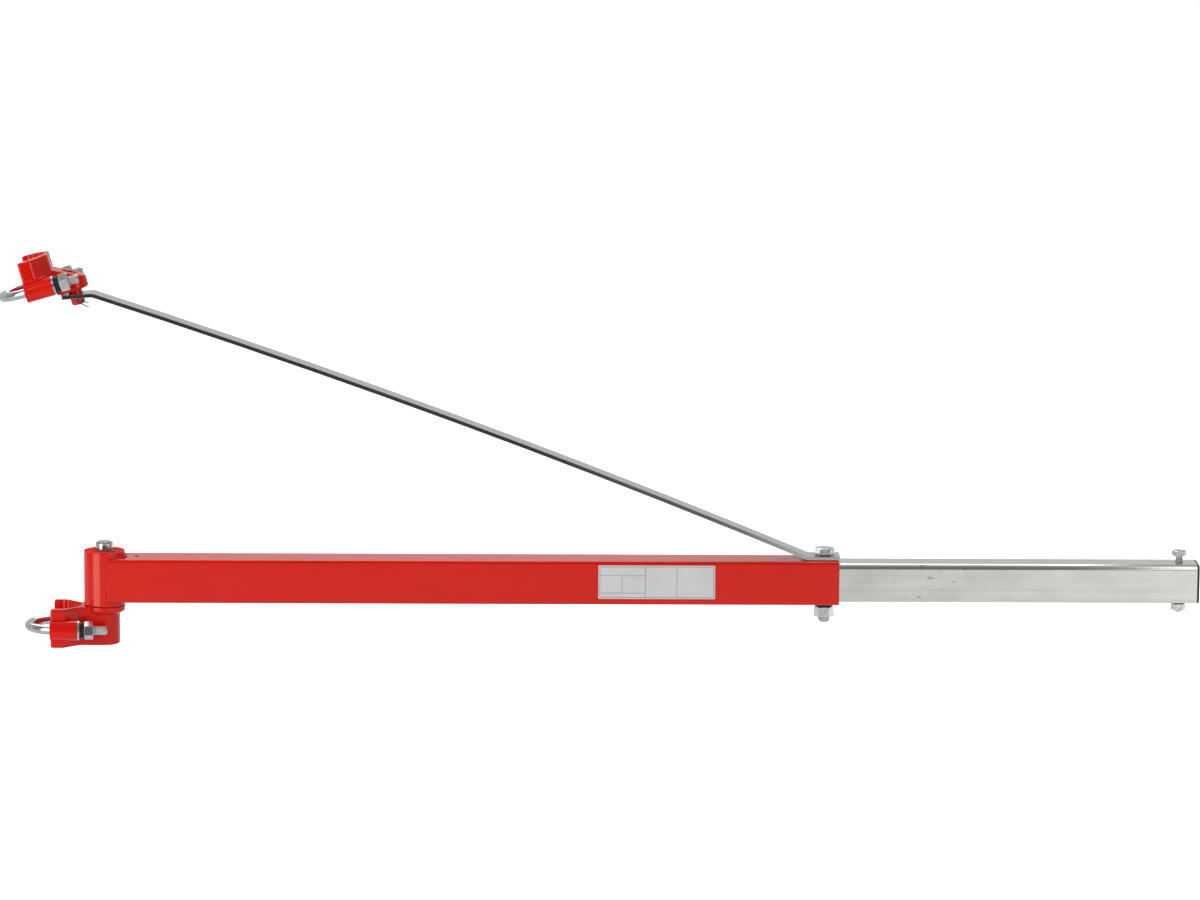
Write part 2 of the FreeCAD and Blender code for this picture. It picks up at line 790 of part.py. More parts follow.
def outer_tube():
    body = new_body("OuterTube")
    square_tube(
        body, "dim.tube_side", "dim.tube_wall", "dim.tube_corner",
        f"{pin_x} + dim.tube_start", "dim.tube_reach - dim.tube_start",
    )
    cope = circles(body, "XY_Plane", [(pin_x, "0", "dim.boss_diameter / 2 + dim.weld_gap")])
    cut_through(body, cope)
    bolt = "dim.stay_bolt_diameter / 2 + dim.bolt_clearance"
    cut_through(body, circles(body, "XY_Plane", [(stay_bolt_x, "0", bolt)]))
    vent = circles(
        body, "XY_Plane", [(f"{pin_x} + dim.vent_reach", "0", "dim.vent_diameter / 2")], tube_middle
    )
    cut_through(body, vent, both_ways=False, upward=True)
    return keep(body, "outer_tube")


def extension_tube():
    body = new_body("ExtensionTube")
    square_tube(
        body, extension_side, "dim.extension_wall", "dim.extension_corner",
        f"{extension_end} - dim.extension_length", "dim.extension_length",
    )
    holes = [
        (stay_bolt_x, "dim.stay_bolt_diameter"),
        (stop_bolt_x, "dim.stop_bolt_diameter"),
    ]
    for x, diameter in holes:
        hole = f"{diameter} / 2 + dim.bolt_clearance"
        cut_through(body, circles(body, "XY_Plane", [(x, "0", hole)]))
    return keep(body, "extension_tube")


def end_cap():
    body = new_body("ExtensionEndCap")
    end = extension_end
    half = f"({extension_side} / 2)"
    flange = rectangle(
        body, "YZ_Plane", (f"-{half}", f"{tube_middle} - {half}"), (half, f"{tube_middle} + {half}"),
        end,
    )
    pad(body, flange, "dim.cap_flange")
    along = Vector(1, 0, 0)
    round_edges(body, lambda edge: runs_along(edge, along), "dim.extension_corner")
    outer_face = size(f"{end} + dim.cap_flange")
    round_edges(body, lambda edge: edge.BoundBox.XMin > outer_face - 0.01, "dim.cap_flange / 2")
    plug_half = f"({half} - dim.extension_wall - dim.cap_clearance)"
    plug = rectangle(
        body, "YZ_Plane", (f"-{plug_half}", f"{tube_middle} - {plug_half}"),
        (plug_half, f"{tube_middle} + {plug_half}"), f"{end} - dim.cap_plug",
    )
    pad(body, plug, "dim.cap_plug")
    plug_end = size(f"{end} - dim.cap_plug") + 0.01
    round_edges(body, lambda edge: runs_along(edge, along) and edge.BoundBox.XMin < plug_end,
                "dim.extension_corner - dim.extension_wall")
    return keep(body, "extension_end_cap")


# Stay bar: one flat bar with two bends

def stay_bar():
    body = new_body("StayBlank")
    thick = "dim.stay_thickness"
    # the long run is bowed upwards, so it leaves both bends off its chord by half its arc
    chord = f"sqrt(pow(dim.stay_rise; 2) + pow({lower_bend_x} - {upper_bend_x}; 2))"
    radius = f"(pow({chord} / 2; 2) + pow(dim.stay_bow; 2)) / (2 * dim.stay_bow)"
    half_arc = f"asin({chord} / 2 / ({radius}))"
    upper_slope = f"({stay_slope} - {half_arc})"
    upper_turn = f"(({upper_slope} + dim.stay_tilt * 1 deg) / 2)"
    upper_lean = f"((dim.stay_tilt * 1 deg - {upper_slope}) / 2)"
    lower_turn = f"(({stay_slope} + {half_arc}) / 2)"
    left_x = f"({upper_bend_x} - dim.stay_flat * cos(dim.stay_tilt))"
    left_z = f"({upper_bend_z} - dim.stay_flat * sin(dim.stay_tilt))"
    right_x = f"({tube_end} + dim.stay_overhang)"
    profile = polygon(body, "XZ_Plane", [
        (left_x, left_z),
        (upper_bend_x, upper_bend_z),
        (lower_bend_x, lower_bend_z),
        (right_x, lower_bend_z),
        (right_x, tube_top),
        (f"{lower_bend_x} - {thick} * tan({lower_turn})", tube_top),
        (
            f"{upper_bend_x} + {thick} * sin({upper_lean}) / cos({upper_turn})",
            f"{upper_bend_z} - {thick} * cos({upper_lean}) / cos({upper_turn})",
        ),
        (f"{left_x} + {thick} * sin(dim.stay_tilt)", f"{left_z} - {thick} * cos(dim.stay_tilt)"),
    ], bows={1: (radius, True), 5: (f"{radius} - {thick}", False)})
    pad(body, profile, "dim.stay_width", both_ways=True)
    across = Vector(0, 1, 0)
    corner_length = size(thick) + 0.01
    round_edges(body, lambda edge: edge.Length < corner_length, "dim.stay_corner")
    bends = [size(upper_bend_x), size(lower_bend_x)]
    near = size(thick)
    inside = [size(f"{upper_bend_z} - {thick} / 2"), size(f"{tube_top} + {thick} / 2")]

    def at_bend(edge, outside):
        if not runs_along(edge, across):
            return False
        place = edge.BoundBox.Center
        for bend, middle, outer_is_high in zip(bends, inside, (True, False)):
            if abs(place.x - bend) < near:
                return (place.z > middle) == (outer_is_high == outside)
        return False

    round_edges(body, lambda edge: at_bend(edge, False), "dim.stay_bend_radius")
    round_edges(body, lambda edge: at_bend(edge, True), "dim.stay_bend_radius + dim.stay_thickness")
    pin_drill = bind(
        doc.addObject("Part::Cylinder", "stay_pin_drill"), Radius="dim.stay_hole / 2", Height=f"3 * {thick}"
    )
    tilt = "dim.stay_tilt"
    move(
        pin_drill,
        f"{hole_x} + 1.5 * {thick} * sin({tilt})", "0", f"{hole_z} - 1.5 * {thick} * cos({tilt})",
        Vector(0, -1, 0), tilt,
    )
    bolt_drill = bind(
        doc.addObject("Part::Cylinder", "stay_bolt_drill"),
        Radius="dim.stay_bolt_diameter / 2 + dim.bolt_clearance",
        Height=f"3 * {thick}",
    )
    move(bolt_drill, stay_bolt_x, "0", f"{tube_top} - {thick}")
    drills = doc.addObject("Part::MultiFuse", "stay_drills")
    drills.Shapes = [pin_drill, bolt_drill]
    bar = doc.addObject("Part::Cut", "StayBar")
    bar.Base = body
    bar.Tool = drills
    return keep(bar, "stay_bar")


# Bolts through the jib

def bolt(label, diameter, flats, head, low, seat_height, plain, x):
    top = hexagon(label + "_head", flats, head)
    move(top, z=seat_height)
    shank = new_body(label + "_shank")
    chamfer = f"{diameter} * dim.bolt_chamfer"
    turn(shank, stem_outline(shank, f"{diameter} / 2", seat_height, low, plain, chamfer))
    result = doc.addObject("Part::MultiFuse", label)
    result.Shapes = [top, shank]
    return move(keep(result, label), x)


def bolt_set(name, x, head_seat, under):
    # spring washer and nut hang below the tube, and the bolt's tail below the nut
    diameter = f"dim.{name}_bolt_diameter"
    flats = f"dim.{name}_bolt_flats"
    spring = f"dim.{name}_spring_height"
    nut_height = f"dim.{name}_nut_thickness"
    hole = f"{diameter} / 2 + dim.thread_clearance"
    nut_bottom = f"({under} - {spring} - {nut_height})"
    bolt(
        f"{name}_bolt", diameter, flats, f"dim.{name}_bolt_head",
        f"{nut_bottom} - dim.{name}_bolt_tail", head_seat, f"dim.{name}_bolt_plain", x,
    )
    label = f"{name}_spring_washer"
    washer = spring_ring(
        label, f"dim.{name}_spring_diameter / 2", hole, f"dim.{name}_spring_thickness", spring
    )
    move(keep(washer, label), x, "0", f"{under} - {spring}")
    label = f"{name}_nut"
    fastener = nut(label, flats, nut_height, hole)
    move(keep(fastener, label), x, "0", nut_bottom)


lower_casting()
lower_pivot()
clamp_bolts("lower")
swivel_boss()
outer_tube()
extension_tube()
end_cap()
stay_bar()
bolt_set("stay", stay_bolt_x, f"{tube_top} + dim.stay_thickness", tube_bottom)
bolt_set("stop", stop_bolt_x, f"{extension_top} + dim.stop_bolt_stand", extension_bottom)
upper_casting()
upper_pivot()
clamp_bolts("upper")
doc.recompute()

for item in doc.Objects:
    if "Invalid" in item.State or "Error" in item.State:
        raise RuntimeError(f"{item.Label} failed: {item.State}")
for item in nodes:
    if item.Shape.isNull() or not item.Shape.isValid():
        raise RuntimeError(f"{item.Label} has no valid shape")

os.makedirs("parts", exist_ok=True)
for item in nodes:
    item.Shape.exportStep(f"parts/{item.Label}.step")
    solids = len(item.Shape.Solids)
    print(f"{item.Label}: {solids} solid, {item.Shape.Volume / 1000:.2f} cm3")
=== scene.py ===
import math

import bmesh
import bpy
from mathutils import Matrix, Vector


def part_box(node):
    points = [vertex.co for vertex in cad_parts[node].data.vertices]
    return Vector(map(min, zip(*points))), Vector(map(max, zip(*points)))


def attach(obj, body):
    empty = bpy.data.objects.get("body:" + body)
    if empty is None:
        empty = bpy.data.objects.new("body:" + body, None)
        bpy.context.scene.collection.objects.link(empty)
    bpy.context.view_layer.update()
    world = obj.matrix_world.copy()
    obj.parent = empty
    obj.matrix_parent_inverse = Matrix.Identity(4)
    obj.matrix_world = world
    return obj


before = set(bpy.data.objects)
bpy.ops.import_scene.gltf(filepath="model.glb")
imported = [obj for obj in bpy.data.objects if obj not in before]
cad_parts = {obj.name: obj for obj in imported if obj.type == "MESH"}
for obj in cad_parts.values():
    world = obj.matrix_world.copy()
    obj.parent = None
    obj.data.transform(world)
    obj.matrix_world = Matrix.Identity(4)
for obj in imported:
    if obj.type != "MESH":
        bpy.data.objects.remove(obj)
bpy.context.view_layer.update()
mm = 0.001
print("frame loaded:", len(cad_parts), "nodes")


# node helpers

def addNode(tree, kind, inputs=None, **settings):
    node = tree.nodes.new(kind)
    for name, value in settings.items():
        setattr(node, name, value)
    for name, value in (inputs or {}).items():
        node.inputs[name].default_value = value
    return node


def wire(tree, source, target):
    tree.links.new(source, target)


def feed(tree, sockets, values):
    # plain values are set on their sockets, the rest are wired
    for socket, value in zip(sockets, values):
        if isinstance(value, (int, float, tuple)):
            socket.default_value = value
        elif value is not None:
            wire(tree, value, socket)


def newGroup(name, inputs, outputs, kind="ShaderNodeTree"):
    group = bpy.data.node_groups.new(name, kind)
    for label, socketType, value in inputs:
        socket = group.interface.new_socket(label, in_out="INPUT", socket_type=socketType)
        if value is not None:
            socket.default_value = value
    for label, socketType in outputs:
        group.interface.new_socket(label, in_out="OUTPUT", socket_type=socketType)
    return group, group.nodes.new("NodeGroupInput"), group.nodes.new("NodeGroupOutput")


def mathNode(tree, operation, first, second=None, clamp=False):
    node = addNode(tree, "ShaderNodeMath", operation=operation, use_clamp=clamp)
    feed(tree, node.inputs, (first, second))
    return node.outputs[0]


def mixColor(tree, factor, first, second):
    node = addNode(tree, "ShaderNodeMix", data_type="RGBA")
    feed(tree, (node.inputs[0], node.inputs[6], node.inputs[7]), (factor, first, second))
    return node.outputs[2]


def remap(tree, value, fromLow, fromHigh, toLow=0, toHigh=1):
    limits = {"From Min": fromLow, "From Max": fromHigh, "To Min": toLow, "To Max": toHigh}
    node = addNode(tree, "ShaderNodeMapRange", limits)
    wire(tree, value, node.inputs["Value"])
    return node.outputs[0]


def objectAxes(tree):
    place = addNode(tree, "ShaderNodeTexCoord")
    axes = addNode(tree, "ShaderNodeSeparateXYZ")
    wire(tree, place.outputs["Object"], axes.inputs[0])
    return axes.outputs


# shared effects

def grainGroup():
    # noise drawn out by Stretch, centred on zero
    group, start, end = newGroup("drawnGrain", [
        ("Stretch", "NodeSocketVector", (1, 1, 1)),
        ("Scale", "NodeSocketFloat", 50.0),
        ("Detail", "NodeSocketFloat", 3.0),
    ], [("Value", "NodeSocketFloat")])
    place = addNode(group, "ShaderNodeTexCoord")
    stretch = addNode(group, "ShaderNodeVectorMath", operation="MULTIPLY")
    wire(group, place.outputs["Object"], stretch.inputs[0])
    wire(group, start.outputs["Stretch"], stretch.inputs[1])
    noise = addNode(group, "ShaderNodeTexNoise")
    wire(group, stretch.outputs[0], noise.inputs["Vector"])
    wire(group, start.outputs["Scale"], noise.inputs["Scale"])
    wire(group, start.outputs["Detail"], noise.inputs["Detail"])
    centred = mathNode(group, "SUBTRACT", noise.outputs[0], 0.5)
    wire(group, centred, end.inputs["Value"])
    return group


def edgeGroup():
    # how far the rounded normal leaves the true one: bright along edges only
    wear = {"gain": 4.0, "threshold": 0.25}
    group, start, end = newGroup("edgeMask", [
        ("Width", "NodeSocketFloat", 0.001),
        ("Break Up", "NodeSocketFloat", 0.0),
    ], [("Mask", "NodeSocketFloat")])
    rounded = addNode(group, "ShaderNodeBevel", samples=6)
    wire(group, start.outputs["Width"], rounded.inputs["Radius"])
    flat = addNode(group, "ShaderNodeNewGeometry")
    dot = addNode(group, "ShaderNodeVectorMath", operation="DOT_PRODUCT")
    wire(group, rounded.outputs[0], dot.inputs[0])
    wire(group, flat.outputs["Normal"], dot.inputs[1])
    away = mathNode(group, "SUBTRACT", 1.0, dot.outputs["Value"])
    worn = mathNode(group, "ADD", mathNode(group, "MULTIPLY", away, wear["gain"]), start.outputs["Break Up"])
    wire(group, mathNode(group, "SUBTRACT", worn, wear["threshold"], clamp=True), end.inputs["Mask"])
    return group


grain = grainGroup()
edges = edgeGroup()
even = (1, 1, 1)  # grain that isn't drawn out
grainSpan = (-0.25, 0.25)  # where most of a grain's values lie


def useGrain(tree, stretch, scale, detail):
    node = addNode(tree, "ShaderNodeGroup", node_tree=grain)
    node.inputs["Stretch"].default_value = stretch
    node.inputs["Scale"].default_value = scale
    node.inputs["Detail"].default_value = detail
    return node.outputs["Value"]


def useEdges(tree, width, breakUp):
    node = addNode(tree, "ShaderNodeGroup", node_tree=edges)
    node.inputs["Width"].default_value = width
    wire(tree, breakUp, node.inputs["Break Up"])
    return node.outputs["Mask"]


def newMaterial(name, color, metallic, **shaderSettings):
    material = bpy.data.materials.new(name)
    material.use_nodes = True
    tree = material.node_tree
    shader = tree.nodes["Principled BSDF"]
    shader.inputs["Base Color"].default_value = (*color, 1)
    shader.inputs["Metallic"].default_value = metallic
    for label, value in shaderSettings.items():
        shader.inputs[label.replace("_", " ")].default_value = value
    return material, tree, shader


def tint(tree, shader, mask, first, second):
    wire(tree, mixColor(tree, mask, (*first, 1), (*second, 1)), shader.inputs["Base Color"])


def roughen(tree, shader, value, smooth, rough):
    wire(tree, remap(tree, value, *grainSpan, smooth, rough), shader.inputs["Roughness"])


def bumpFrom(tree, shader, height, distance, strength, edgeWidth=None):
    bump = addNode(tree, "ShaderNodeBump", {"Distance": distance, "Strength": strength})
    wire(tree, height, bump.inputs["Height"])
    if edgeWidth:
        soft = addNode(tree, "ShaderNodeBevel", {"Radius": edgeWidth}, samples=6)
        wire(tree, soft.outputs[0], bump.inputs["Normal"])
    wire(tree, bump.outputs[0], shader.inputs["Normal"])


# materials

def redPaint(name, sawnEnds=False):
    # the near-black tone at the vent hole is painted shade
    paint = {"color": (0.64, 0.006, 0.002), "deep": (0.58, 0.005, 0.002), "gloss": (1, 0.92, 0.78, 1),
             "driftGrain": ((1, 4, 4), 3, 4), "drift": (-0.2, 0.2),
             "roughGrain": ((1, 3, 3), 25, 4), "rough": (0.05, 0.1),
             "peelGrain": (even, 650, 1), "peelDepth": 0.00004, "bumpStrength": 0.35, "edge": 0.0008,
             "ventX": 0.081, "ventRadius": 0.0027, "ventShade": (0.02, 0.006, 0.005), "ventRough": 0.8,
             "lumpGrain": (even, 330, 3), "lumpDepth": 0.0006,
             "sawnFacing": 0.9, "sawnRough": 0.9, "sawnEdge": 0.0016}
    material, tree, shader = newMaterial(name, paint["color"], 0, Specular_Tint=paint["gloss"])
    drift = remap(tree, useGrain(tree, *paint["driftGrain"]), *paint["drift"])
    color = mixColor(tree, drift, (*paint["color"], 1), (*paint["deep"], 1))
    # painted shade: the vent hole in the tube's upper wall, and the tube's inner floor seen through it, are
    # painted near black and made rough
    axes = objectAxes(tree)
    along = mathNode(tree, "SUBTRACT", axes["X"], paint["ventX"])
    across = mathNode(tree, "MULTIPLY", axes["Y"], axes["Y"])
    away = mathNode(tree, "ADD", mathNode(tree, "MULTIPLY", along, along), across)
    inVent = mathNode(tree, "LESS_THAN", away, paint["ventRadius"] ** 2)
    above = mathNode(tree, "GREATER_THAN", axes["Z"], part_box("outer_tube")[0].z + mm)
    # painted shade mask: inside the vent hole's disc, above the tube's bottom face
    ventShade = mathNode(tree, "MULTIPLY", above, inVent)
    wire(tree, mixColor(tree, ventShade, color, (*paint["ventShade"], 1)), shader.inputs["Base Color"])
    rough = remap(tree, useGrain(tree, *paint["roughGrain"]), *grainSpan, *paint["rough"])
    rough = mathNode(tree, "ADD", rough, mathNode(tree, "MULTIPLY", ventShade, paint["ventRough"]))
    height = useGrain(tree, *paint["peelGrain"])
    depth, edge = paint["peelDepth"], paint["edge"]
    if sawnEnds:
        # faces that look up or down were sawn and painted thinly, so they are rough
        facing = addNode(tree, "ShaderNodeNewGeometry")
        split = addNode(tree, "ShaderNodeSeparateXYZ")
        wire(tree, facing.outputs["Normal"], split.inputs[0])
        upright = mathNode(tree, "ABSOLUTE", split.outputs["Z"])
        level = mathNode(tree, "GREATER_THAN", upright, paint["sawnFacing"])
        rough = mathNode(tree, "ADD", rough, mathNode(tree, "MULTIPLY", level, paint["sawnRough"]))
        depth, edge = paint["lumpDepth"], paint["sawnEdge"]
        peel = mathNode(tree, "MULTIPLY", height, paint["peelDepth"] / depth)
        lumps = mathNode(tree, "MULTIPLY", useGrain(tree, *paint["lumpGrain"]), level)
        height = mathNode(tree, "ADD", peel, lumps)
    wire(tree, rough, shader.inputs["Roughness"])
    bumpFrom(tree, shader, height, depth, paint["bumpStrength"], edge)
    return material


def redCast():
    paint = {"color": (0.65, 0.006, 0.002), "deep": (0.54, 0.005, 0.002), "gloss": (1, 0.92, 0.78, 1),
             "shine": 0.36, "driftGrain": (even, 55, 5), "drift": (-0.2, 0.25),
             "roughGrain": (even, 120, 4), "rough": (0.07, 0.15),
             "skinGrain": (even, 260, 4), "skinDepth": 0.00025, "bumpStrength": 0.3, "edge": 0.0015}
    material, tree, shader = newMaterial("redCastIron", paint["color"], 0, Specular_Tint=paint["gloss"],
                                         Specular_IOR_Level=paint["shine"])
    drift = remap(tree, useGrain(tree, *paint["driftGrain"]), *paint["drift"])
    tint(tree, shader, drift, paint["color"], paint["deep"])
    roughen(tree, shader, useGrain(tree, *paint["roughGrain"]), *paint["rough"])
    skin = useGrain(tree, *paint["skinGrain"])
    bumpFrom(tree, shader, skin, paint["skinDepth"], paint["bumpStrength"], paint["edge"])
    return material


def zincTube():
    zinc = {"color": (0.82, 0.82, 0.785), "dull": (0.73, 0.73, 0.7), "rough": (0.07, 0.12),
            "streakGrain": ((0.6, 40, 40), 5, 6), "streaky": 0.75,
            "cloudGrain": ((1, 1.5, 1.5), 22, 3), "cloudy": 0.95,
            "stain": (0.34, 0.24, 0.14), "stainLevels": (0.22, 0.3), "stainShare": 0.65,
            "stainStop": (1.0, 1.06), "speckGrain": ((0.33, 1, 1), 250, 1),
            "patchGrain": ((0.5, 1, 1), 14, 1), "patchy": 0.6,
            "bumpGrain": ((0.4, 60, 60), 6, 5), "bumpDepth": 0.00006, "bumpStrength": 0.12, "edge": 0.0005}
    material, tree, shader = newMaterial("zincTube", zinc["color"], 1)
    streaks = mathNode(tree, "MULTIPLY", useGrain(tree, *zinc["streakGrain"]), zinc["streaky"])
    clouds = mathNode(tree, "MULTIPLY", useGrain(tree, *zinc["cloudGrain"]), zinc["cloudy"])
    mottled = mathNode(tree, "ADD", streaks, clouds)
    color = mixColor(tree, remap(tree, mottled, *grainSpan), (*zinc["color"], 1), (*zinc["dull"], 1))
    # stains gather in patches and stop short of the far end
    patches = mathNode(tree, "MULTIPLY", useGrain(tree, *zinc["patchGrain"]), zinc["patchy"])
    spotted = mathNode(tree, "ADD", useGrain(tree, *zinc["speckGrain"]), patches)
    strength = remap(tree, objectAxes(tree)["X"], *zinc["stainStop"], zinc["stainShare"], 0)
    stained = mathNode(tree, "MULTIPLY", remap(tree, spotted, *zinc["stainLevels"]), strength)
    wire(tree, mixColor(tree, stained, color, (*zinc["stain"], 1)), shader.inputs["Base Color"])
    roughen(tree, shader, mottled, *zinc["rough"])
    brushed = useGrain(tree, *zinc["bumpGrain"])
    bumpFrom(tree, shader, brushed, zinc["bumpDepth"], zinc["bumpStrength"], zinc["edge"])
    return material


def cloudyFinish(name, finish):
    # two tones and a roughness that follow one grain, over a finer bump
    look = {"metallic": 1, "tones": (-0.2, 0.25), "edge": None, **finish}
    material, tree, shader = newMaterial(name, look["color"], look["metallic"])
    cloud = useGrain(tree, *look["grain"])
    tint(tree, shader, remap(tree, cloud, *look["tones"]), look["color"], look["second"])
    roughen(tree, shader, cloud, *look["rough"])
    height = useGrain(tree, *look["bumpGrain"])
    bumpFrom(tree, shader, height, look["bumpDepth"], look["bumpStrength"], look["edge"])
    return material


def zincBar():
    return cloudyFinish("zincFlatBar", {
        "color": (0.66, 0.66, 0.65), "second": (0.54, 0.54, 0.535), "rough": (0.05, 0.11),
        "grain": ((1, 30, 3), 6, 6), "tones": grainSpan,
        "bumpGrain": ((1, 40, 4), 8, 5), "bumpDepth": 0.00005, "bumpStrength": 0.15, "edge": 0.0005})


def brightZinc(name, tone, rough):
    return cloudyFinish(name, {
        "color": (tone, tone, tone * 0.985), "second": (tone * 0.72, tone * 0.73, tone * 0.74),
        "rough": rough, "grain": (even, 180, 5),
        "bumpGrain": (even, 420, 3), "bumpDepth": 0.00005, "bumpStrength": 0.1, "edge": 0.0005})


def dullSteel():
    return cloudyFinish("dullSteel", {
        "color": (0.22, 0.215, 0.2), "second": (0.08, 0.078, 0.075), "rough": (0.3, 0.5),
        "grain": (even, 240, 5), "bumpGrain": (even, 600, 3), "bumpDepth": 0.00005, "bumpStrength": 0.3})


def blackPlastic():
    return cloudyFinish("blackPlastic", {
        "color": (0.012, 0.012, 0.013), "second": (0.03, 0.03, 0.03), "metallic": 0, "rough": (0.38, 0.55),
        "grain": (even, 90, 4), "tones": (-0.2, 0.3),
        "bumpGrain": (even, 900, 2), "bumpDepth": 0.00004, "bumpStrength": 0.3, "edge": 0.0006})


def foil():
    return cloudyFinish("foilPlate", {
        "color": (0.62, 0.62, 0.62), "second": (0.55, 0.55, 0.54), "metallic": 0, "rough": (0.32, 0.48),
        "grain": (even, 35, 4), "bumpGrain": (even, 700, 2), "bumpDepth": 0.00002, "bumpStrength": 0.3})


def blackSteel():
    oxide = {"color": (0.022, 0.022, 0.024), "worn": (0.1, 0.1, 0.1), "wornWidth": 0.0006, "metallic": 0.7,
             "grain": (even, 300, 4), "rough": (0.3, 0.5),
             "bumpGrain": (even, 500, 3), "bumpDepth": 0.00005, "bumpStrength": 0.3}
    material, tree, shader = newMaterial("blackSpringSteel", oxide["color"], oxide["metallic"])
    cloud = useGrain(tree, *oxide["grain"])
    tint(tree, shader, useEdges(tree, oxide["wornWidth"], cloud), oxide["color"], oxide["worn"])
    roughen(tree, shader, cloud, *oxide["rough"])
    bumpFrom(tree, shader, useGrain(tree, *oxide["bumpGrain"]), oxide["bumpDepth"], oxide["bumpStrength"])
    return material


def printedRule():
    ink = {"color": (0.16, 0.16, 0.17), "faded": (0.24, 0.24, 0.25), "rough": 0.45,
           "grain": (even, 400, 3), "tones": (-0.2, 0.25)}
    material, tree, shader = newMaterial("printedRule", ink["color"], 0, Roughness=ink["rough"])
    cloud = useGrain(tree, *ink["grain"])
    tint(tree, shader, remap(tree, cloud, *ink["tones"]), ink["color"], ink["faded"])
    return material


finishes = {
    "redPaint": redPaint("redPaint"),
    "redBoss": redPaint("redBoss", sawnEnds=True),
    "redCast": redCast(),
    "zincTube": zincTube(),
    "zincBar": zincBar(),
    "brightZinc": brightZinc("brightZinc", 0.7, (0.1, 0.24)),
    "paleZinc": brightZinc("paleZinc", 0.9, (0.1, 0.24)),
    "rolledZinc": brightZinc("rolledZinc", 0.92, (0.6, 0.75)),
    "dullSteel": dullSteel(),
    "blackSteel": blackSteel(),
    "blackPlastic": blackPlastic(),
    "foil": foil(),
    "printedRule": printedRule(),
}

# what isn't named here is bright zinc
nodeFinish = {
    "redPaint": ["outer_tube"],
    "redBoss": ["swivel_boss"],
    "redCast": ["lower_clamp_casting", "upper_clamp_casting", "upper_pivot_pin"],
    "zincTube": ["extension_tube"],
    "zincBar": ["stay_bar"],
    "paleZinc": ["stay_nut", "stop_nut"],
    "dullSteel": ["pivot_split_pin", "upper_split_pin"],
    "blackPlastic": ["extension_end_cap"],
    "blackSteel": [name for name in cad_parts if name.endswith("spring_washer")],
}
dressed = {name: finish for finish, names in nodeFinish.items() for name in names}
for name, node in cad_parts.items():
    for slot in node.material_slots:
        slot.material = finishes[dressed.get(name, "brightZinc")]
print("materials on", len(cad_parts), "nodes")


# added pieces

def grow(name, seedPoints, seedEdges, tree, settings):
    # run a geometry tree on a few points and keep the plain mesh that comes out
    seed = bpy.data.meshes.new(name + "Seed")
    seed.from_pydata(seedPoints, seedEdges, [])
    piece = bpy.data.objects.new(name, seed)
    bpy.context.collection.objects.link(piece)
    modifier = piece.modifiers.new("grow", "NODES")
    modifier.node_group = tree
    for item in tree.interface.items_tree:
        if item.in_out == "INPUT" and item.name in settings:
            modifier[item.identifier] = settings[item.name]
    bpy.context.view_layer.update()
    shape = piece.evaluated_get(bpy.context.evaluated_depsgraph_get())
    mesh = bpy.data.meshes.new_from_object(shape)
    piece.modifiers.remove(modifier)
    piece.data = mesh
    mesh.name = name
    bpy.data.meshes.remove(seed)
    return piece


def finishTree(group, geometry, start, end):
    real = addNode(group, "GeometryNodeRealizeInstances")
    coat = addNode(group, "GeometryNodeSetMaterial")
    wire(group, geometry, real.inputs[0])
    wire(group, real.outputs[0], coat.inputs["Geometry"])
    wire(group, start.outputs["Finish"], coat.inputs["Material"])
    wire(group, coat.outputs[0], end.inputs["Geometry"])


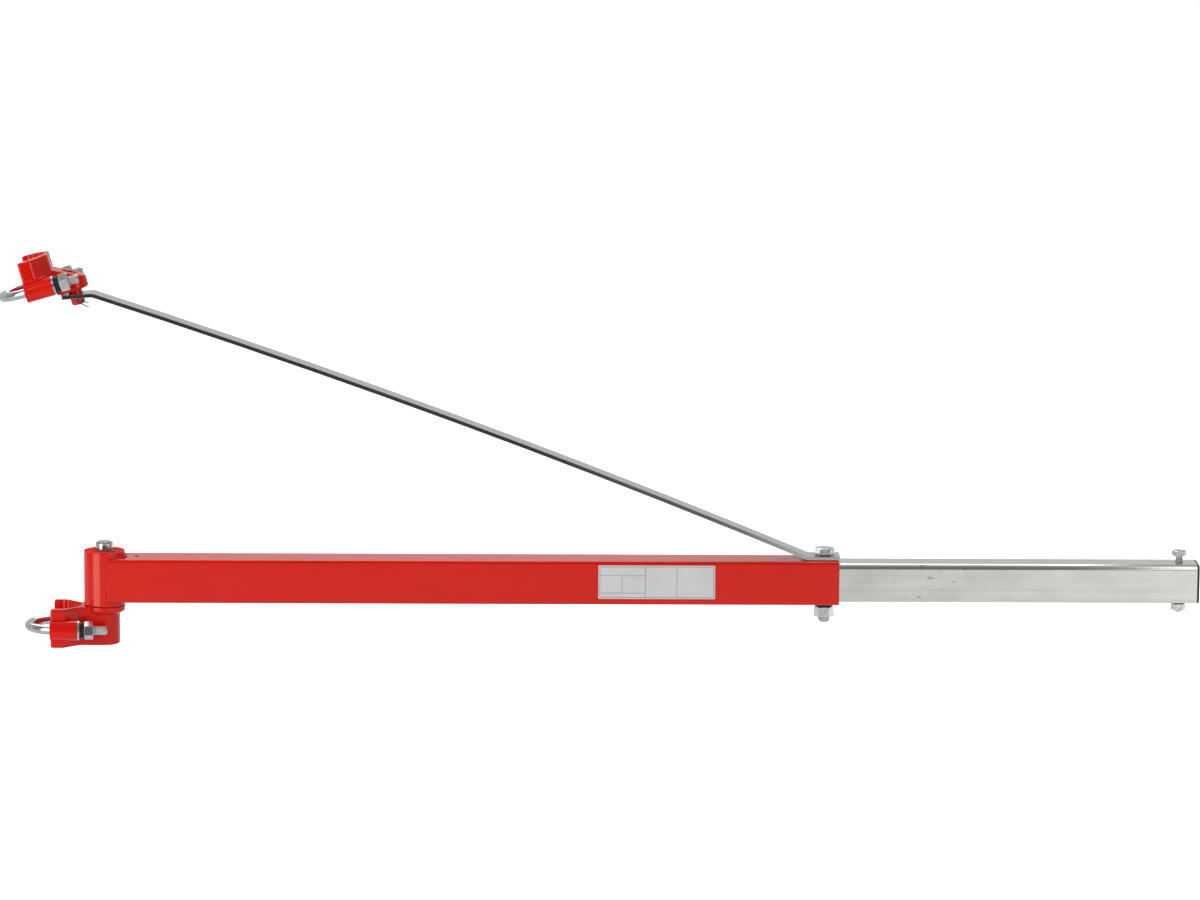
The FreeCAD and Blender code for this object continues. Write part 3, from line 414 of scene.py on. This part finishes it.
def threadTree():
    # one helical ridge on each seed point, wound along Direction
    ridge = {"stepsPerTurn": 28, "sides": 3, "widthShare": 0.55, "fadeTurns": 0.5, "fadeFrom": 0.05}
    group, start, end = newGroup("threadTurns", [
        ("Geometry", "NodeSocketGeometry", None),
        ("Radius", "NodeSocketFloat", 0.005),
        ("Pitch", "NodeSocketFloat", 0.0015),
        ("Length", "NodeSocketFloat", 0.015),
        ("Crest", "NodeSocketFloat", 0.0004),
        ("Direction", "NodeSocketVector", (0, 0, 1)),
        ("Finish", "NodeSocketMaterial", None),
    ], [("Geometry", "NodeSocketGeometry")], "GeometryNodeTree")
    turns = mathNode(group, "DIVIDE", start.outputs["Length"], start.outputs["Pitch"])
    helix = addNode(group, "GeometryNodeCurveSpiral", {"Resolution": ridge["stepsPerTurn"]})
    wire(group, turns, helix.inputs["Rotations"])
    wire(group, start.outputs["Radius"], helix.inputs["Start Radius"])
    wire(group, start.outputs["Radius"], helix.inputs["End Radius"])
    wire(group, start.outputs["Length"], helix.inputs["Height"])
    level = addNode(group, "GeometryNodeSetCurveNormal", mode="Z_UP")
    wire(group, helix.outputs[0], level.inputs["Curve"])
    # the ridge fades out over half a turn at both ends
    along = addNode(group, "GeometryNodeSplineParameter")
    fromStart = mathNode(group, "MULTIPLY", along.outputs["Factor"], turns)
    fromEnd = mathNode(group, "SUBTRACT", turns, fromStart)
    nearest = mathNode(group, "MINIMUM", fromStart, fromEnd)
    rising = mathNode(group, "MULTIPLY", nearest, 1 / ridge["fadeTurns"])
    fade = mathNode(group, "MINIMUM", mathNode(group, "ADD", rising, ridge["fadeFrom"]), 1.0)
    taper = addNode(group, "GeometryNodeSetCurveRadius")
    wire(group, level.outputs[0], taper.inputs["Curve"])
    wire(group, fade, taper.inputs["Radius"])
    # a three-sided ridge with its point outwards
    width = mathNode(group, "MULTIPLY", start.outputs["Pitch"], ridge["widthShare"])
    profile = addNode(group, "GeometryNodeCurvePrimitiveCircle", {"Resolution": ridge["sides"]})
    wire(group, width, profile.inputs["Radius"])
    squeeze = addNode(group, "ShaderNodeCombineXYZ", {"Y": 1.0, "Z": 1.0})
    wire(group, mathNode(group, "DIVIDE", start.outputs["Crest"], width), squeeze.inputs["X"])
    flat = addNode(group, "GeometryNodeTransform")
    wire(group, profile.outputs[0], flat.inputs["Geometry"])
    wire(group, squeeze.outputs[0], flat.inputs["Scale"])
    sweep = addNode(group, "GeometryNodeCurveToMesh", {"Fill Caps": True})
    wire(group, taper.outputs[0], sweep.inputs["Curve"])
    wire(group, flat.outputs[0], sweep.inputs["Profile Curve"])
    turn = addNode(group, "FunctionNodeAlignRotationToVector", axis="Z")
    wire(group, start.outputs["Direction"], turn.inputs["Vector"])
    spread = addNode(group, "GeometryNodeInstanceOnPoints")
    wire(group, start.outputs["Geometry"], spread.inputs["Points"])
    wire(group, sweep.outputs[0], spread.inputs["Instance"])
    wire(group, turn.outputs[0], spread.inputs["Rotation"])
    finishTree(group, spread.outputs[0], start, end)
    return group


def weldTree():
    # overlapping ripples laid along the seam
    shape = {"subdivisions": 3, "least": (0.85, 0.85, 0.55), "most": (1.2, 1.2, 0.8)}
    group, start, end = newGroup("weldRipples", [
        ("Geometry", "NodeSocketGeometry", None),
        ("Bead", "NodeSocketFloat", 0.002),
        ("Step", "NodeSocketFloat", 0.002),
        ("Seed", "NodeSocketInt", 7),
        ("Finish", "NodeSocketMaterial", None),
    ], [("Geometry", "NodeSocketGeometry")], "GeometryNodeTree")
    seam = addNode(group, "GeometryNodeMeshToCurve")
    wire(group, start.outputs["Geometry"], seam.inputs[0])
    steps = addNode(group, "GeometryNodeResampleCurve", mode="LENGTH")
    wire(group, seam.outputs[0], steps.inputs["Curve"])
    wire(group, start.outputs["Step"], steps.inputs["Length"])
    ripple = addNode(group, "GeometryNodeMeshIcoSphere", {"Subdivisions": shape["subdivisions"]})
    wire(group, start.outputs["Bead"], ripple.inputs["Radius"])
    soft = addNode(group, "GeometryNodeSetShadeSmooth")
    wire(group, ripple.outputs[0], soft.inputs["Geometry"])
    tangent = addNode(group, "GeometryNodeInputTangent")
    turn = addNode(group, "FunctionNodeAlignRotationToVector", axis="Z")
    wire(group, tangent.outputs[0], turn.inputs["Vector"])
    uneven = addNode(group, "FunctionNodeRandomValue", data_type="FLOAT_VECTOR")
    feed(group, uneven.inputs, (shape["least"], shape["most"]))
    wire(group, start.outputs["Seed"], uneven.inputs["Seed"])
    spread = addNode(group, "GeometryNodeInstanceOnPoints")
    wire(group, steps.outputs[0], spread.inputs["Points"])
    wire(group, soft.outputs[0], spread.inputs["Instance"])
    wire(group, turn.outputs[0], spread.inputs["Rotation"])
    wire(group, uneven.outputs[0], spread.inputs["Scale"])
    finishTree(group, spread.outputs[0], start, end)
    return group


threads = threadTree()
ripples = weldTree()


def threadOn(name, starts, direction, thread, body):
    crest = thread["crest"] * mm
    piece = grow(name, starts, [], threads, {
        "Radius": thread["core"] * mm + crest * 0.3,  # the foot of the ridge stays inside the rod
        "Pitch": thread["pitch"] * mm,
        "Length": thread["length"] * mm,
        "Crest": crest,
        "Direction": direction,
        "Finish": finishes["rolledZinc"],
    })
    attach(piece, body)


def middle(node):
    low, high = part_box(node)
    return (low + high) / 2


def uBoltThreads():
    thread = {"core": 4.25, "pitch": 1.5, "fromNut": 4.2}
    ends = {"lower": {"length": 13.2, "crest": 0.22}, "upper": {"length": 9.4, "crest": 0.1}}
    for clamp, end in ends.items():
        # a leg runs from its washer through its nut, so those two give its line
        starts = []
        for side in ("front", "rear"):
            washer, nut = middle(f"{clamp}_{side}_washer"), middle(f"{clamp}_{side}_nut")
            direction = (nut - washer).normalized()
            starts.append(nut + direction * thread["fromNut"] * mm)
        threadOn(f"{clamp}UBoltThreads", starts, direction, {**thread, **end}, f"{clamp}_clamp")


def boltThreads():
    down = Vector((0, 0, -1))
    stay = {"core": 5.5, "pitch": 1.75, "crest": 0.38, "length": 5.0, "insideNut": 0.4}
    low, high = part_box("stay_nut")
    centre = (low + high) / 2
    threadOn("stayBoltThread", [(centre.x, centre.y, low.z + stay["insideNut"] * mm)], down, stay, "arm")
    stop = {"core": 3.5, "pitch": 1.25, "crest": 0.16, "length": 5.0}
    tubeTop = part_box("extension_tube")[1].z
    centre = middle("stop_nut")
    threadOn("stopBoltThread", [(centre.x, centre.y, tubeTop + stop["length"] * mm)], down, stop, "arm")


def weldSeam():
    # round the boss where the tube's coped end meets it, up both side walls and over top and bottom
    weld = {"bead": 1.7, "step": 2.0, "seed": 11, "stand": 0.4, "arcSteps": 14}
    bossLow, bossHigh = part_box("swivel_boss")
    tubeLow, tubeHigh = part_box("outer_tube")
    centre = (bossLow + bossHigh) / 2
    bossRadius = (bossHigh.y - bossLow.y) / 2
    stand = weld["stand"] * mm
    reach = bossRadius + stand
    sweep = math.acos((tubeLow.x - centre.x) / reach)
    seam = []
    for height, sense in ((tubeHigh.z + stand, 1), (tubeLow.z - stand, -1)):
        for step in range(weld["arcSteps"] + 1):
            angle = sense * sweep * (2 * step / weld["arcSteps"] - 1)
            seam.append((centre.x + reach * math.cos(angle), centre.y + reach * math.sin(angle), height))
    links = [(index, (index + 1) % len(seam)) for index in range(len(seam))]
    piece = grow("weldSeam", seam, links, ripples, {
        "Bead": weld["bead"] * mm,
        "Step": weld["step"] * mm,
        "Seed": weld["seed"],
        "Finish": finishes["redPaint"],
    })
    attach(piece, "arm")


def ruledPlate():
    # bare foil plate on the tube's front, ruled into fields
    plate = {"left": 553.0, "right": 672.2, "low": 31.8, "high": 66.5, "thick": 0.35, "corner": 0.5,
             "cornerSteps": 4, "border": 1.3, "ruleWidth": 0.5, "ruleStand": 0.03,
             "uprights": (0.2, 0.4, 0.67), "footRule": 0.14, "headRule": 0.7}
    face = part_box("outer_tube")[0].y
    width, height = plate["right"] - plate["left"], plate["high"] - plate["low"]
    shape = bmesh.new()

    def bar(left, low, right, high, stand, slot):
        corners = [(left, low), (right, low), (right, high), (left, high)]
        places = [((plate["left"] + x) * mm, (plate["low"] + z) * mm) for x, z in corners]
        ring = [shape.verts.new((x, face - stand * mm, z)) for x, z in places]
        foot = [shape.verts.new((x, face, z)) for x, z in places]
        faces = [shape.faces.new(ring)]
        for index in range(4):
            after = (index + 1) % 4
            faces.append(shape.faces.new((ring[after], ring[index], foot[index], foot[after])))
        faces.append(shape.faces.new(list(reversed(foot))))
        for part in faces:
            part.material_index = slot

    bar(0, 0, width, height, plate["thick"], 0)
    # the four edges that run through the plate's thickness get rounded
    through = [e for e in shape.edges if abs(e.verts[0].co.y - e.verts[1].co.y) > plate["thick"] * mm / 2]
    bmesh.ops.bevel(shape, geom=through, offset=plate["corner"] * mm, segments=plate["cornerSteps"],
                    affect="EDGES")
    rule, border = plate["ruleWidth"], plate["border"]
    left, low, right, high = border, border, width - border, height - border
    first, second, third = (width * share for share in plate["uprights"])
    foot = low + (high - low) * plate["footRule"]
    head = low + (high - low) * plate["headRule"]
    rules = [
        (left, low, right, low + rule),
        (left, high - rule, right, high),
        (left, low, left + rule, high),
        (right - rule, low, right, high),
        (left, head, second, head + rule),
        (left, foot, second, foot + rule),
        (first, foot, first + rule, head),
        (second, low, second + rule, high),
        (third, low, third + rule, high),
    ]
    for strip in rules:
        bar(*strip, plate["thick"] + plate["ruleStand"], 1)
    mesh = bpy.data.meshes.new("ruledPlate")
    shape.to_mesh(mesh)
    shape.free()
    piece = bpy.data.objects.new("ruledPlate", mesh)
    bpy.context.collection.objects.link(piece)
    mesh.materials.append(finishes["foil"])
    mesh.materials.append(finishes["printedRule"])
    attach(piece, "arm")


uBoltThreads()
boltThreads()
weldSeam()
ruledPlate()
print("threads, weld and plate added")


# stage, light and camera

def paleFloor():
    # the front edge is near enough to show dark in the stay, and steps out to the right
    floor = {"outline": [(-3.2, -3.65), (0.9, -3.65), (1.4, -4.6), (4.4, -4.6), (4.4, 9.0), (-3.2, 9.0)],
             "height": -0.55, "shade": 0.86, "rough": 0.9, "lift": (0.5, 1.0), "liftReach": (0.9, 3.6),
             "mirrored": (0.69, 0.88), "mirroredReach": (0.9, 1.65)}
    mesh = bpy.data.meshes.new("paleFloor")
    corners = [(x, y, floor["height"]) for x, y in floor["outline"]]
    mesh.from_pydata(corners, [], [tuple(range(len(corners)))])
    panel = bpy.data.objects.new("paleFloor", mesh)
    bpy.context.collection.objects.link(panel)
    material, tree, shader = newMaterial("palePaper", (floor["shade"],) * 3, 0, Roughness=floor["rough"])
    # extra light for the eye, more of it further out, so that the paper comes out white
    path = addNode(tree, "ShaderNodeLightPath")
    shader.inputs["Emission Color"].default_value = (1, 1, 1, 1)
    place = addNode(tree, "ShaderNodeTexCoord")
    away = addNode(tree, "ShaderNodeVectorMath", operation="LENGTH")
    wire(tree, place.outputs["Object"], away.inputs[0])
    lift = remap(tree, away.outputs["Value"], *floor["liftReach"], *floor["lift"])
    lift = mathNode(tree, "MULTIPLY", path.outputs["Is Camera Ray"], lift)
    wire(tree, lift, shader.inputs["Emission Strength"])
    # an even tone in reflections, brighter to the right
    glow = addNode(tree, "ShaderNodeEmission", {"Color": (1, 1, 1, 1)})
    tone = remap(tree, objectAxes(tree)["X"], *floor["mirroredReach"], *floor["mirrored"])
    wire(tree, tone, glow.inputs["Strength"])
    either = addNode(tree, "ShaderNodeMixShader")
    wire(tree, path.outputs["Is Glossy Ray"], either.inputs[0])
    wire(tree, shader.outputs[0], either.inputs[1])
    wire(tree, glow.outputs[0], either.inputs[2])
    wire(tree, either.outputs[0], tree.nodes["Material Output"].inputs["Surface"])
    mesh.materials.append(material)


def studioWorld():
    # white to the eye; reflections see a pale back, a dim front and a ceiling that is lightest overhead
    # each pair is a height from -1, straight down, to 1, straight up, and its tone
    room = {"front": [(-0.05, 0.06), (0.12, 0.2), (0.5, 0.16), (0.72, 0.16), (0.95, 0.4)],
            "back": [(0.35, 0.57), (0.72, 0.24), (0.95, 0.4)], "frontToBack": (-0.5, 0.35), "fill": 0.42}
    world = bpy.data.worlds.new("studio")
    bpy.context.scene.world = world
    world.use_nodes = True
    tree = world.node_tree
    background = tree.nodes["Background"]
    place = addNode(tree, "ShaderNodeTexCoord")
    split = addNode(tree, "ShaderNodeSeparateXYZ")
    wire(tree, place.outputs["Generated"], split.inputs[0])
    height = remap(tree, split.outputs["Z"], -1, 1)

    def byHeight(stops):
        ramp = addNode(tree, "ShaderNodeValToRGB")
        wire(tree, height, ramp.inputs[0])
        points = ramp.color_ramp.elements
        while len(points) < len(stops):
            points.new(0.5)
        for point, (level, tone) in zip(points, stops):
            point.position = (level + 1) / 2
            point.color = (tone, tone, tone, 1)
        return ramp.outputs[0]

    depth = remap(tree, split.outputs["Y"], *room["frontToBack"])
    mirrored = mixColor(tree, depth, byHeight(room["front"]), byHeight(room["back"]))
    path = addNode(tree, "ShaderNodeLightPath")
    seen = mixColor(tree, path.outputs["Is Glossy Ray"], (room["fill"],) * 3 + (1,), mirrored)
    wire(tree, mixColor(tree, path.outputs["Is Camera Ray"], seen, (1, 1, 1, 1)), background.inputs["Color"])


def softbox(name, place, aim, size, power, mirrored=True, lighting=True):
    lamp = bpy.data.lights.new(name, "AREA")
    lamp.shape = "RECTANGLE"
    lamp.size, lamp.size_y = size
    lamp.energy = power
    box = bpy.data.objects.new(name, lamp)
    bpy.context.collection.objects.link(box)
    box.location = place
    box.rotation_euler = (Vector(aim) - Vector(place)).to_track_quat("-Z", "Y").to_euler()
    box.visible_glossy = mirrored
    box.visible_diffuse = lighting


def studioLights():
    lamps = {
        "overheadBox": {"place": (-0.075, 1.76, 2.23), "aim": (-0.075, 0, 0.05), "size": (2.85, 2.1),
                        "power": 43},
        "overheadFill": {"place": (2.1, 1.76, 2.23), "aim": (2.1, 0, 0.05), "size": (1.6, 2.1), "power": 24,
                         "mirrored": False},
        "keyBox": {"place": (-1.76, -2.0, 1.22), "aim": (0.05, 0, 1.22), "size": (1.86, 3.5), "power": 47},
        "keyFill": {"place": (-0.9, -2.9, 0.9), "aim": (0.3, 0, 0.15), "size": (1.6, 1.6), "power": 15,
                    "mirrored": False},
        "rightBox": {"place": (2.6, -3.4, 0.9), "aim": (0.9, 0, 0.1), "size": (1.6, 1.6), "power": 14},
        # a white card that only shows in the extension's far end
        "farCard": {"place": (2.25, -1.53, 1.34), "aim": (2.25, 0, 0.05), "size": (1.84, 3.0), "power": 19,
                    "lighting": False},
    }
    for name, lamp in lamps.items():
        softbox(name, **lamp)


def photoCamera():
    shot = {"target": (0.5542, 0.0, 0.182), "distance": 6.0, "azimuth": 0.605, "elevation": 9.13,
            "roll": 0.304, "focal": 5880.0, "width": 1200, "sensor": 36}  # focal and width in pixels
    azimuth, elevation, roll = (math.radians(shot[key]) for key in ("azimuth", "elevation", "roll"))
    forward = Vector((math.sin(azimuth) * math.cos(elevation), math.cos(azimuth) * math.cos(elevation),
                      -math.sin(elevation)))
    level = Vector((math.cos(azimuth), -math.sin(azimuth), 0))
    upright = level.cross(forward)
    right = level * math.cos(roll) + upright * math.sin(roll)
    up = upright * math.cos(roll) - level * math.sin(roll)
    lens = bpy.data.cameras.new("photoCamera")
    lens.sensor_fit = "HORIZONTAL"
    lens.sensor_width = shot["sensor"]
    lens.lens = shot["focal"] / shot["width"] * shot["sensor"]
    lens.clip_end = 100
    camera = bpy.data.objects.new("photoCamera", lens)
    bpy.context.collection.objects.link(camera)
    turn = Matrix((right, up, -forward)).transposed().to_4x4()
    camera.matrix_world = Matrix.Translation(Vector(shot["target"]) - forward * shot["distance"]) @ turn
    bpy.context.scene.camera = camera


paleFloor()
studioWorld()
studioLights()
photoCamera()
bpy.context.scene.view_settings.view_transform = "Standard"
print("stage, lights and camera set")
